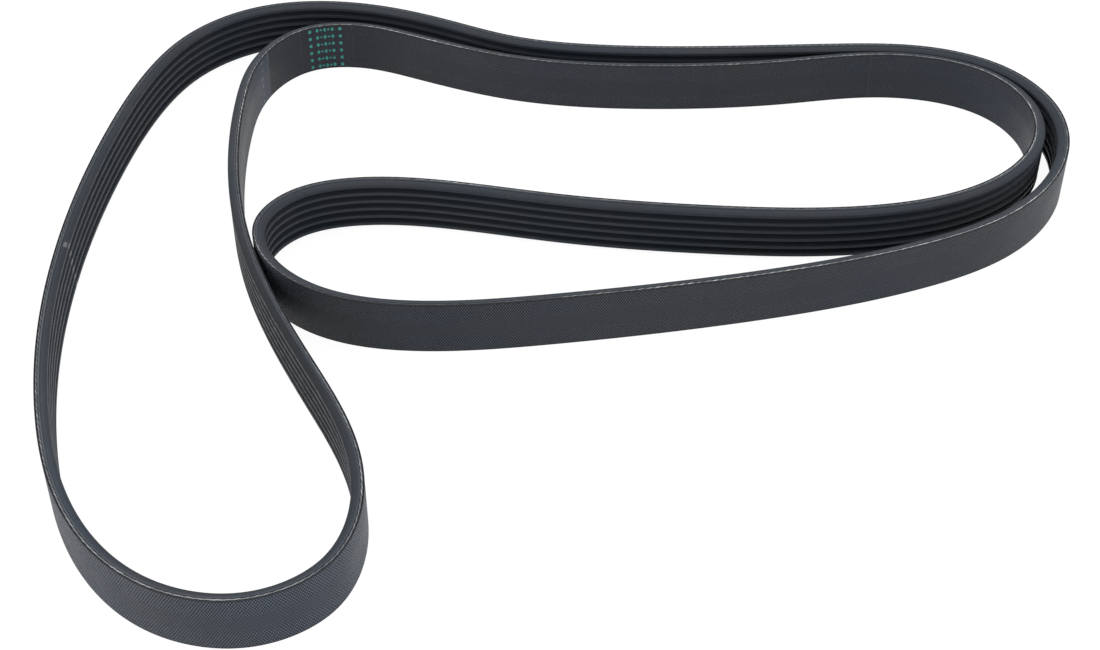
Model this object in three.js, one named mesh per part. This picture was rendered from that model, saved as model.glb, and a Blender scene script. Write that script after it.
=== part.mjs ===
import * as THREE from 'three';

// Ribbed drive belt for the accessories of a car engine: one endless moulded band, standing on its cut edge
// in the loose double loop that it springs into when nothing holds it.
// Lengths are in millimetres and +Z is up. The origin is on the surface that the belt stands on, under the
// middle of the belt's box.

// Cross-section of the band, as the standard profile for ribbed car belts gives it
const RIB_COUNT = 6;
const RIB_PITCH = 3.56;
const THICKNESS = 4.5;
const RIB_DEPTH = 2.4;
const RIB_ANGLE = 40;
const GROOVE_FLOOR = 0.6;

// Room between two runs where they lie against each other, rib to rib or back to back
const SHOULDER_CLEARANCE = 0.4;
const BEND_CLEARANCE = 0.8;
const END_CLEARANCE = 3;
const BACK_CLEARANCE = 0.8;

// How finely the bends are cut into flat facets
const FACET_TURN = 8;
const FACET_LENGTH = 24;
const WALK_STEP = 0.5;
const SPLINE_SWEEPS = 60;

const BELT_WIDTH = RIB_COUNT * RIB_PITCH;
const FLANK_RUN = RIB_DEPTH * Math.tan(THREE.MathUtils.degToRad(RIB_ANGLE / 2));

// The place at a distance square across a run, on a bearing in degrees from +X towards +Y
function across([x, y], bearing, distance) {
  const angle = THREE.MathUtils.degToRad(bearing);
  return [x + distance * Math.cos(angle), y + distance * Math.sin(angle)];
}

// The place on the back of a run that lies rib to rib against an outer one
function ribToRib(place, bearing, clearance) {
  return across(place, bearing, 2 * THICKNESS + clearance);
}

// Places where one run lies against another, which takes its own place from there
const OUTER_SHOULDER = [148.5, 138];
const OUTER_BEND = [177.5, 123];
const OUTER_END = [194, 92.5];
const CROSSING_MIDDLE = [-121.5, -3.5];

// Waypoints of the smooth back face, seen from above and taken clockwise. The ribs are on the right-hand side.
const NEAR_LOOP = [[-72.5, -119], [-72, -141], [-79, -160], [-102, -175], [-135, -170], [-164, -142]];
const LEFT_RUN = [[-183, -96], [-195, -7], [-189.5, 78], [-181, 119]];
const LEFT_SHOULDER = [[-167.5, 149], [-141, 171], [-92, 173.5], [-54.5, 159], [-27.5, 146.5], [5, 140]];
const OUTER_RUN = [[57, 138.5], [111.5, 140.5], OUTER_SHOULDER, OUTER_BEND, OUTER_END, [190.5, 56], [166, 21.5]];
const FRONT_RUN = [[127, -0.5], [60, -20], [-14, -33], [-59, -36.5], [-96, -28.5]];
const TIGHT_TURN = [across(CROSSING_MIDDLE, 18, BACK_CLEARANCE), [-123.5, 15], [-111.5, 34], [-89, 42]];
const RIBBED_RUN = [[-51.5, 40], [-10, 31.5], [49, 24], [109, 24], [138.5, 31]];
const INNER_END = [
  [160, 43],
  [177.5, 64.5],
  ribToRib(OUTER_END, 192, END_CLEARANCE),
  ribToRib(OUTER_BEND, 226, BEND_CLEARANCE),
  ribToRib(OUTER_SHOULDER, 257, SHOULDER_CLEARANCE),
];
const INNER_RUN = [[125, 131], [88.5, 126], [33.5, 122], [-30.5, 129.5], [-72.5, 146.5]];
const INNER_SHOULDER = [[-97, 155], [-117, 152], [-131.5, 134.5]];
const CROSSING_RUN = [[-137, 100], [-134.5, 55], CROSSING_MIDDLE, [-93, -67]];

const WAYPOINTS = [
  NEAR_LOOP, LEFT_RUN, LEFT_SHOULDER, OUTER_RUN, FRONT_RUN, TIGHT_TURN,
  RIBBED_RUN, INNER_END, INNER_RUN, INNER_SHOULDER, CROSSING_RUN,
].flat().map(([x, y]) => new THREE.Vector2(x, y));

// Closed cubic spline through waypoints, with its bend and not only its direction continuous, as in a band
// that springs. The parameter runs from 0 to 1 and is shared out by the straight distances between waypoints.
class SpringLine extends THREE.Curve {
  constructor(waypoints) {
    super();
    const count = waypoints.length;
    this.places = waypoints;
    this.spans = waypoints.map((place, i) => place.distanceTo(waypoints[(i + 1) % count]));
    this.starts = [0];
    this.spans.forEach((span, i) => this.starts.push(this.starts[i] + span));
    this.total = this.starts[count];
    this.bends = waypoints.map(() => new THREE.Vector2());
    for (let sweep = 0; sweep < SPLINE_SWEEPS; sweep++) {
      waypoints.forEach((place, i) => this.settle(i, count));
    }
  }

  // Gives one waypoint the second derivative at which its two spans meet with equal slope
  settle(i, count) {
    const last = (i + count - 1) % count;
    const next = (i + 1) % count;
    const before = this.spans[last];
    const after = this.spans[i];
    const slopeIn = this.places[i].clone().sub(this.places[last]).divideScalar(before);
    const slopeOut = this.places[next].clone().sub(this.places[i]).divideScalar(after);
    this.bends[i]
      .copy(slopeOut)
      .sub(slopeIn)
      .multiplyScalar(6)
      .addScaledVector(this.bends[last], -before)
      .addScaledVector(this.bends[next], -after)
      .divideScalar(2 * (before + after));
  }

  // The span that a parameter falls in, with the shares of it that lie behind and ahead
  locate(t) {
    const along = (t - Math.floor(t)) * this.total;
    const found = this.starts.findIndex((start) => start > along) - 1;
    const i = found < 0 ? this.spans.length - 1 : found;
    const span = this.spans[i];
    const ahead = (this.starts[i + 1] - along) / span;
    return { i, next: (i + 1) % this.spans.length, span, ahead, behind: 1 - ahead };
  }

  getPoint(t, target = new THREE.Vector2()) {
    const { i, next, span, ahead, behind } = this.locate(t);
    return target
      .set(0, 0)
      .addScaledVector(this.places[i], ahead)
      .addScaledVector(this.places[next], behind)
      .addScaledVector(this.bends[i], (ahead ** 3 - ahead) * span ** 2 / 6)
      .addScaledVector(this.bends[next], (behind ** 3 - behind) * span ** 2 / 6);
  }

  getTangent(t, target = new THREE.Vector2()) {
    const { i, next, span, ahead, behind } = this.locate(t);
    return target
      .copy(this.places[next])
      .sub(this.places[i])
      .divideScalar(span)
      .addScaledVector(this.bends[i], (1 - 3 * ahead ** 2) * span / 6)
      .addScaledVector(this.bends[next], (3 * behind ** 2 - 1) * span / 6)
      .normalize();
  }
}

// Parameters of the places where the band is cut into facets: a new one wherever the direction has turned by
// FACET_TURN since the last, or the way has grown to FACET_LENGTH
function facetPlaces(line) {
  const steps = Math.ceil(line.total / WALK_STEP);
  const turn = Math.cos(THREE.MathUtils.degToRad(FACET_TURN));
  const places = [0];
  let heading = line.getTangent(0);
  for (let step = 1; step < steps; step++) {
    const t = step / steps;
    const now = line.getTangent(t);
    const way = (t - places[places.length - 1]) * line.total;
    if (now.dot(heading) < turn || way > FACET_LENGTH) {
      places.push(t);
      heading = now;
    }
  }
  return places;
}

// Outline of the band's section: x is the depth in from the smooth back and y the height above the lower edge.
// Each rib is a trapezoid, and half a groove floor is left at either cut edge.
function beltSection() {
  const floor = THICKNESS - RIB_DEPTH;
  const outline = new THREE.Shape();
  outline.moveTo(0, 0);
  outline.lineTo(floor, 0);
  for (let rib = 0; rib < RIB_COUNT; rib++) {
    const low = rib * RIB_PITCH + GROOVE_FLOOR / 2;
    const high = (rib + 1) * RIB_PITCH - GROOVE_FLOOR / 2;
    outline.lineTo(floor, low);
    outline.lineTo(THICKNESS, low + FLANK_RUN);
    outline.lineTo(THICKNESS, high - FLANK_RUN);
    outline.lineTo(floor, high);
  }
  outline.lineTo(floor, BELT_WIDTH);
  outline.lineTo(0, BELT_WIDTH);
  return outline.getPoints();
}

// Carries the section once round the line and joins the last facet to the first, so that the band has no ends
function endlessBand(line, section) {
  const places = facetPlaces(line);
  const corners = [];
  for (const t of places) {
    const back = line.getPoint(t);
    const heading = line.getTangent(t);
    for (const { x: depth, y: height } of section) {
      corners.push(back.x + heading.y * depth, back.y - heading.x * depth, height);
    }
  }
  const faces = [];
  const round = section.length;
  for (let i = 0; i < places.length; i++) {
    const here = i * round;
    const there = ((i + 1) % places.length) * round;
    for (let j = 0; j < round; j++) {
      const k = (j + 1) % round;
      faces.push(here + j, there + j, here + k);
      faces.push(here + k, there + j, there + k);
    }
  }
  const geometry = new THREE.BufferGeometry();
  geometry.setAttribute('position', new THREE.Float32BufferAttribute(corners, 3));
  geometry.setIndex(faces);
  return geometry;
}

const line = new SpringLine(WAYPOINTS);
const geometry = endlessBand(line, beltSection());
geometry.computeBoundingBox();
const middle = geometry.boundingBox.getCenter(new THREE.Vector3());
geometry.translate(-middle.x, -middle.y, 0);
geometry.computeVertexNormals();

const rubber = new THREE.MeshStandardMaterial({ color: 0x34373b, roughness: 0.55, metalness: 0 });
const belt = new THREE.Mesh(geometry, rubber);
belt.name = 'ribbed_belt';

const part = new THREE.Group();
part.add(belt);

export default part;
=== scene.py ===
import logging
import math
from dataclasses import dataclass
from enum import Enum
from functools import reduce
from typing import NamedTuple

import bpy
import numpy as np
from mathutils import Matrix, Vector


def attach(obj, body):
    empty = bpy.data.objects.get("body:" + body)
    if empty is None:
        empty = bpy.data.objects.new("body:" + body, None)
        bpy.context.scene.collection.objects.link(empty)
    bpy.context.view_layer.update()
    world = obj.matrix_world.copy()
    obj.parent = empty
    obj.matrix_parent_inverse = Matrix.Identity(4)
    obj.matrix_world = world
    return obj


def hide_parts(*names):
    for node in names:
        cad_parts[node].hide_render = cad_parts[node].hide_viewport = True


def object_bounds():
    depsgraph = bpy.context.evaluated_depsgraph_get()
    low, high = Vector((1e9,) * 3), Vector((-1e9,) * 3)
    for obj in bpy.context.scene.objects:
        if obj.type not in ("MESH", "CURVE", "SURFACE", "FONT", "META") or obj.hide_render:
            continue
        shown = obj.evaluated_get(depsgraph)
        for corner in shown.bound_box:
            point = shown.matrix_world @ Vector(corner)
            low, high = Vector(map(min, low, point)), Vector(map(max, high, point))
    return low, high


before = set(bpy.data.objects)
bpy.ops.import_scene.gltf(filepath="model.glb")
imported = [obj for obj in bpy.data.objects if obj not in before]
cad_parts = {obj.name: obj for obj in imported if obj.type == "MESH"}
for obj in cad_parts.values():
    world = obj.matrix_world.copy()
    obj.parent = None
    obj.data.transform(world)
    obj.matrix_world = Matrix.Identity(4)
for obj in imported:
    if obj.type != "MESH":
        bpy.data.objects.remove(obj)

# The finished look of one endless ribbed drive belt, which stands on its cut edge in a loose double loop.
# Lengths are in metres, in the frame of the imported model. "Run" is the way along the smooth back from the
# first waypoint, "depth" is measured in from the back towards the ribs, and "height" is up from the lower
# edge.

LOG = logging.getLogger("belt")
CAD_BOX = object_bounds()
MM = 0.001
TURN = 2.0 * math.pi
BODY = "root"
CAD_NODE = "ribbed_belt"

# How many places on the line the belt's box is measured at
BOX_STATIONS = 8000

Piece = bpy.types.Object
Material = bpy.types.Material
Tree = bpy.types.NodeTree
Node = bpy.types.Node
Socket = bpy.types.NodeSocket
Colour = tuple[float, float, float, float]
Signal = Socket | float | tuple[float, ...]
Inputs = dict[int | str, Signal]


class Face(Enum):
    """The kinds of surface that the band has, by their material index."""

    BACK = 0
    EDGE = 1
    RIBS = 2
    COVER = 3


class Side(Enum):
    """The two cut edges, as the direction that each one faces."""

    UPPER = 1
    LOWER = -1


@dataclass(frozen=True)
class BeltSize:
    """Driving sizes of the ribbed section."""

    rib_count: int = 6
    rib_pitch: float = 3.56 * MM
    thickness: float = 4.5 * MM
    rib_depth: float = 2.4 * MM
    rib_angle: float = math.radians(40.0)
    groove_floor: float = 0.6 * MM
    cord_depth: float = 0.88 * MM
    cord_radius: float = 0.34 * MM

    @property
    def width(self) -> float:
        """The belt's width, which is also how tall it stands."""
        return self.rib_count * self.rib_pitch

    @property
    def floor_depth(self) -> float:
        """Depth of the groove floors below the smooth back."""
        return self.thickness - self.rib_depth

    @property
    def flank_run(self) -> float:
        """How far a rib's flank leans over its height."""
        return self.rib_depth * math.tan(self.rib_angle / 2.0)


@dataclass(frozen=True)
class Clearances:
    """Room between two runs where they lie against each other, in millimetres."""

    shoulder: float = 0.4
    bend: float = 0.8
    end: float = 3.0
    back: float = 0.8


def across(place: tuple[float, float], bearing: float, distance: float) -> tuple[float, float]:
    """The place at a distance square across a run, on a bearing in degrees from +X towards +Y.

    Args:
        place: Where the distance is measured from.
        bearing: Direction in degrees.
        distance: How far to go.

    Returns:
        The place reached.
    """
    angle = math.radians(bearing)
    return place[0] + distance * math.cos(angle), place[1] + distance * math.sin(angle)


def waypoints(size: BeltSize, room: Clearances) -> np.ndarray:
    """Waypoints of the smooth back, given in millimetres, from above and clockwise.

    Args:
        size: Sizes of the section.
        room: Clearances between runs that touch.

    Returns:
        An array of places, one row each, in metres.
    """
    outer_shoulder = (148.5, 138.0)
    outer_bend = (177.5, 123.0)
    outer_end = (194.0, 92.5)
    crossing_middle = (-121.5, -3.5)
    two_bands = 2.0 * size.thickness / MM
    near_loop = [(-72.5, -119), (-72, -141), (-79, -160), (-102, -175), (-135, -170), (-164, -142)]
    left_run = [(-183, -96), (-195, -7), (-189.5, 78), (-181, 119)]
    left_shoulder = [(-167.5, 149), (-141, 171), (-92, 173.5), (-54.5, 159), (-27.5, 146.5), (5, 140)]
    outer_run = [(57, 138.5), (111.5, 140.5), outer_shoulder, outer_bend, outer_end]
    outer_return = [(190.5, 56), (166, 21.5)]
    front_run = [(127, -0.5), (60, -20), (-14, -33), (-59, -36.5), (-96, -28.5)]
    tight_turn = [across(crossing_middle, 18, room.back), (-123.5, 15), (-111.5, 34), (-89, 42)]
    ribbed_run = [(-51.5, 40), (-10, 31.5), (49, 24), (109, 24), (138.5, 31)]
    inner_end = [
        (160, 43),
        (177.5, 64.5),
        across(outer_end, 192, two_bands + room.end),
        across(outer_bend, 226, two_bands + room.bend),
        across(outer_shoulder, 257, two_bands + room.shoulder),
    ]
    inner_run = [(125, 131), (88.5, 126), (33.5, 122), (-30.5, 129.5), (-72.5, 146.5)]
    inner_shoulder = [(-97, 155), (-117, 152), (-131.5, 134.5)]
    crossing_run = [(-137, 100), (-134.5, 55), crossing_middle, (-93, -67)]
    places = (
        near_loop + left_run + left_shoulder + outer_run + outer_return + front_run + tight_turn
        + ribbed_run + inner_end + inner_run + inner_shoulder + crossing_run
    )
    return np.array(places, dtype=float) * MM


@dataclass(frozen=True)
class Stations:
    """Places along the smooth back, with the way run so far and the heading at each."""

    run: np.ndarray
    place: np.ndarray
    heading: np.ndarray

    @property
    def inward(self) -> np.ndarray:
        """Unit vectors from the back towards the ribs: the heading turned clockwise by a right angle."""
        return np.stack([self.heading[:, 1], -self.heading[:, 0]], axis=1)

    def vectors(self, depth: np.ndarray, height: np.ndarray) -> np.ndarray:
        """Vectors square to the line.

        Args:
            depth: Their parts towards the ribs, in one row for each station or in one row for all.
            height: Their parts upwards, in rows like the depths.

        Returns:
            An array of vectors, with one row for each station.
        """
        flat = self.inward[:, None, :] * depth[..., None]
        up = np.broadcast_to(height[..., None], flat.shape[:2] + (1,))
        return np.concatenate([flat, up], axis=2)

    def beside(self, depth: np.ndarray, height: np.ndarray) -> np.ndarray:
        """Places at depths below the smooth back and heights above the lower edge, in rows as in vectors."""
        return np.pad(self.place, ((0, 0), (0, 1)))[:, None, :] + self.vectors(depth, height)


class BeltLine:
    """The closed line that the smooth back follows, as a cubic spline whose bend is continuous."""

    table_size = 40000

    def __init__(self, places: np.ndarray) -> None:
        """Solves the spline and tabulates its length.

        The second derivatives M at the waypoints answer, for spans h before and H after each waypoint,
        h M(before) + 2 (h + H) M + H M(after) = 6 (slope after - slope before).

        Args:
            places: Waypoints, one row each.
        """
        self.places = places
        self.after = np.roll(places, -1, axis=0)
        self.spans = np.linalg.norm(self.after - places, axis=1)
        self.starts = np.concatenate([[0.0], np.cumsum(self.spans)])
        before = np.roll(self.spans, 1)
        slopes = (self.after - places) / self.spans[:, None]
        unit = np.eye(len(places))
        system = (
            np.diag(2.0 * (before + self.spans))
            + before[:, None] * np.roll(unit, -1, axis=1)
            + self.spans[:, None] * np.roll(unit, 1, axis=1)
        )
        self.bends = np.linalg.solve(system, 6.0 * (slopes - np.roll(slopes, 1, axis=0)))
        self.parameters = np.linspace(0.0, self.starts[-1], self.table_size + 1)
        dots = self.evaluate(self.parameters)[0]
        steps = np.linalg.norm(np.diff(dots, axis=0), axis=1)
        self.runs = np.concatenate([[0.0], np.cumsum(steps)])
        self.length = float(self.runs[-1])

    def evaluate(self, parameters: np.ndarray) -> tuple[np.ndarray, np.ndarray]:
        """Places and unit headings of the spline.

        With a behind and b ahead of the place as shares of its span h, the place is
        b P + a Q + h^2 ((b^3 - b) M + (a^3 - a) N) / 6, and the heading is its slope.

        Args:
            parameters: Sums of straight distances between waypoints, any real numbers.

        Returns:
            An array of places and an array of unit headings.
        """
        wrapped = np.mod(parameters, self.starts[-1])
        i = np.clip(np.searchsorted(self.starts, wrapped, side="right") - 1, 0, len(self.spans) - 1)
        span = self.spans[i][:, None]
        ahead = ((self.starts[i + 1] - wrapped) / self.spans[i])[:, None]
        behind = 1.0 - ahead
        first, second = self.bends[i], self.bends[(i + 1) % len(self.spans)]
        place = ahead * self.places[i] + behind * self.after[i]
        place = place + span ** 2 / 6.0 * ((ahead ** 3 - ahead) * first + (behind ** 3 - behind) * second)
        slope = (self.after[i] - self.places[i]) / span
        slope = slope + span / 6.0 * ((1.0 - 3.0 * ahead ** 2) * first + (3.0 * behind ** 2 - 1.0) * second)
        return place, slope / np.linalg.norm(slope, axis=1)[:, None]

    def at(self, run: np.ndarray) -> Stations:
        """Stations at given distances along the line.

        Args:
            run: Distances from the first waypoint, any real numbers.

        Returns:
            The stations there.
        """
        parameter = np.interp(np.mod(run, self.length), self.runs, self.parameters)
        place, heading = self.evaluate(parameter)
        return Stations(np.asarray(run, dtype=float), place, heading)

    def round(self, count: int) -> Stations:
        """A number of stations at equal distances once round the line."""
        return self.at(np.arange(count) * self.length / count)


class Corner(NamedTuple):
    """A corner of the section before it is rounded, and the surface that starts at it."""

    depth: float
    height: float
    radius: float
    steps: int
    face: Face


@dataclass(frozen=True)
class Outline:
    """A closed rounded outline: places, outward normals, surfaces and weights of its walls."""

    depth: np.ndarray
    height: np.ndarray
    normal: np.ndarray
    face: np.ndarray
    share: np.ndarray


@dataclass(frozen=True)
class RibbedSection:
    """The band's section with its moulded and ground corners."""

    size: BeltSize
    back_radius: float = 0.22 * MM
    edge_radius: float = 0.12 * MM
    tip_radius: float = 0.34 * MM
    floor_radius: float = 0.2 * MM
    slot_radius: float = 0.04 * MM
    slot_room: float = 0.07 * MM
    slot_slope: float = 0.08 * MM
    slot_depth: float = 0.3 * MM
    wide_steps: int = 3
    small_steps: int = 2
    rib_weight: float = 0.62

    def slot_corners(self, level: float, inwards: float) -> list[Corner]:
        """Corners of the slot in a cut edge that the cord lies in, from the back towards the ribs.

        Args:
            level: Height of the cut edge.
            inwards: 1 where the body lies above the edge, -1 where it lies below.

        Returns:
            The four corners.
        """
        floor = level + inwards * self.slot_depth
        wide = self.size.cord_radius + self.slot_room
        narrow = wide - self.slot_slope
        spots = ((-wide, level), (-narrow, floor), (narrow, floor), (wide, level))
        return [
            Corner(self.size.cord_depth + off, height, self.slot_radius, self.small_steps, Face.EDGE)
            for off, height in spots
        ]

    def corners(self) -> list[Corner]:
        """Collects all corners of the section.

        Returns:
            The corners, from the lower edge of the back, along the ribs, to its upper edge.
        """
        size, wide, small = self.size, self.wide_steps, self.small_steps
        floor, tip = size.floor_depth, size.thickness
        found = [Corner(0.0, 0.0, self.back_radius, wide, Face.COVER)]
        found += self.slot_corners(0.0, 1.0)
        found.append(Corner(floor, 0.0, self.edge_radius, small, Face.RIBS))
        for rib in range(size.rib_count):
            low = rib * size.rib_pitch + size.groove_floor / 2.0
            high = (rib + 1) * size.rib_pitch - size.groove_floor / 2.0
            found.append(Corner(floor, low, self.floor_radius, small, Face.RIBS))
            found.append(Corner(tip, low + size.flank_run, self.tip_radius, wide, Face.RIBS))
            found.append(Corner(tip, high - size.flank_run, self.tip_radius, wide, Face.RIBS))
            found.append(Corner(floor, high, self.floor_radius, small, Face.RIBS))
        found.append(Corner(floor, size.width, self.edge_radius, small, Face.EDGE))
        upper = self.slot_corners(size.width, -1.0)
        found += upper[:0:-1] + [upper[0]._replace(face=Face.COVER)]
        found.append(Corner(0.0, size.width, self.back_radius, wide, Face.BACK))
        return found

    def outline(self) -> Outline:
        """The section with every corner rounded.

        Between its two tangent places a corner's arc is c + s r n(f). The centre c lies s r inside the
        incoming wall, n(f) is that wall's outward normal turned by the share f of the corner's turn, and s
        is 1 at a convex corner and -1 at a concave one.

        Returns:
            The rounded outline.
        """
        corners = self.corners()
        place = np.array([(corner.depth, corner.height) for corner in corners])
        radius = np.array([corner.radius for corner in corners])
        steps = np.array([corner.steps for corner in corners])
        face = np.array([corner.face.value for corner in corners])
        way_in = place - np.roll(place, 1, axis=0)
        way_in /= np.linalg.norm(way_in, axis=1)[:, None]
        way_out = np.roll(way_in, -1, axis=0)
        turn = np.arctan2(
            way_in[:, 0] * way_out[:, 1] - way_in[:, 1] * way_out[:, 0],
            np.sum(way_in * way_out, axis=1),
        )
        sign = np.sign(turn)
        bearing = np.arctan2(-way_in[:, 0], way_in[:, 1])
        tangent = radius * np.tan(np.abs(turn) / 2.0)
        normal_in = np.stack([np.cos(bearing), np.sin(bearing)], axis=1)
        centre = place - way_in * tangent[:, None] - normal_in * (sign * radius)[:, None]
        owner = np.repeat(np.arange(len(corners)), steps)
        first = np.repeat(np.cumsum(steps) - steps, steps)
        share = (np.arange(len(owner)) - first) / (steps[owner] - 1.0)
        angle = bearing[owner] + share * turn[owner]
        normal = np.stack([np.cos(angle), np.sin(angle)], axis=1)
        spot = centre[owner] + normal * (sign * radius)[owner][:, None]
        wall_face = face[owner]
        walls = np.linalg.norm(np.roll(spot, -1, axis=0) - spot, axis=1)
        walls = walls * np.where(wall_face == Face.RIBS.value, self.rib_weight, 1.0)
        along = np.concatenate([[0.0], np.cumsum(walls)])
        return Outline(spot[:, 0], spot[:, 1], normal, wall_face, along / along[-1])


def tube_faces(stations: int, sides: int) -> np.ndarray:
    """Corner numbers of the quads of a closed tube, whose vertices are numbered station by station.

    Args:
        stations: How many rings the tube has.
        sides: How many vertices a ring has.

    Returns:
        One row of four vertex numbers for each quad.
    """
    ring, side = np.meshgrid(np.arange(stations), np.arange(sides), indexing="ij")
    here, there = ring * sides, (ring + 1) % stations * sides
    after = (side + 1) % sides
    return np.stack([here + side, there + side, there + after, here + after], axis=-1).reshape(-1, 4)


def quad_corners(here: np.ndarray, there: np.ndarray, near: np.ndarray, far: np.ndarray) -> np.ndarray:
    """Map corners of quads in the order of tube_faces.

    Args:
        here: First coordinate at the start of each quad.
        there: First coordinate at its end.
        near: Second coordinate at its first side.
        far: Second coordinate at its second side.

    Returns:
        One row of two coordinates for each quad corner.
    """
    u = np.stack([here, there, there, here], axis=1)
    v = np.stack([near, near, far, far], axis=1)
    return np.stack([u, v], axis=-1).reshape(-1, 2)


def quad_map(along: np.ndarray, around: np.ndarray) -> np.ndarray:
    """A map of a closed tube by a value along it and a value round its section.

    Args:
        along: One value for each ring and one more that closes the last quad.
        around: One value for each side of the tube.

    Returns:
        One row of two coordinates for each quad corner.
    """
    rings, sides = len(along) - 1, len(around)
    here, there = np.repeat(along[:-1], sides), np.repeat(along[1:], sides)
    return quad_corners(here, there, np.tile(around, rings), np.tile(np.roll(around, -1), rings))


def folded_map(stations: int, share: np.ndarray, rows: int, margin: float) -> np.ndarray:
    """A map of the whole tube in a unit square, folded into rows that each hold as many stations.

    The place along a row is the share of its stations passed, and the place up a row is the share of the way
    round the section. Both keep a margin inside the row.

    Args:
        stations: How many rings the tube has, a multiple of rows.
        share: Share of the way round the section at each side, with a last value of one.
        rows: How many rows there are.
        margin: Part of a row left free at each end and side.

    Returns:
        One row of two coordinates for each quad corner.
    """
    sides = len(share) - 1
    each = stations // rows
    ring = np.repeat(np.arange(stations), sides)
    row = ring // each
    start = (ring % each) / each
    end = start + 1.0 / each
    room = 1.0 - 2.0 * margin
    slim = margin / rows
    near = (row + margin + room * np.tile(share[:-1], stations)) / rows
    far = (row + margin + room * np.tile(share[1:], stations)) / rows
    scale = 1.0 - 2.0 * slim
    return quad_corners(slim + scale * start, slim + scale * end, near, far)


def add_object(name: str, data: bpy.types.ID) -> Piece:
    """Makes an object and puts it in the scene.

    Args:
        name: Name of the object.
        data: Its mesh, lamp or lens.

    Returns:
        The object.
    """
    thing = bpy.data.objects.new(name, data)
    bpy.context.scene.collection.objects.link(thing)
    return thing


def add_piece(name: str, corners: np.ndarray, faces: list, maps: dict[str, np.ndarray]) -> Piece:
    """Makes a smooth mesh piece that rides on the belt's body.

    Args:
        name: Name of the piece.
        corners: Places of its vertices.
        faces: Vertex numbers of each face.
        maps: Map coordinates of each face corner, by the name of the map.

    Returns:
        The new object.
    """
    mesh = bpy.data.meshes.new(name)
    mesh.from_pydata(corners.reshape(-1, 3), [], faces)
    for title, coordinates in maps.items():
        layer = mesh.uv_layers.new(name=title)
        layer.uv.foreach_set("vector", coordinates.astype(np.float32).ravel())
    mesh.polygons.foreach_set("use_smooth", np.ones(len(mesh.polygons), dtype=bool))
    mesh.update()
    piece = add_object(name, mesh)
    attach(piece, BODY)
    LOG.info("%s: %d faces", name, len(mesh.polygons))
    return piece


class Tone(NamedTuple):
    """The look of plain rubber: its two tints, how strongly it is mottled, and its roughness."""

    colour: Colour
    tint: Colour
    mottle: float
    roughness: float


class Fade(NamedTuple):
    """A smooth change from low to high, as something goes from start to end."""

    start: float
    end: float
    low: float = 0.0
    high: float = 1.0


class Patches(NamedTuple):
    """A slow change over a surface: noise, in waves a metre, that fades between two levels."""

    scale: float
    detail: float
    fade: Fade
    stretch: tuple[float, float, float] = (1.0, 1.0, 1.0)


class Grain(NamedTuple):
    """A fine unevenness: noise in waves a metre, with its detail and its depth."""

    scale: float
    detail: float
    depth: float


class Dust(NamedTuple):
    """Scattered specks: cells a metre, the share of cells that hold one, its size and its strength."""

    scale: float
    amount: float
    size: float
    strength: float


class Stripe(NamedTuple):
    """A stripe with soft edges: its half width, how far its edges fade, and its strength."""

    half: float
    softness: float
    strength: float = 1.0


def opaque(red: float, green: float, blue: float) -> Colour:
    """A colour with its alpha."""
    return red, green, blue, 1.0


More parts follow.
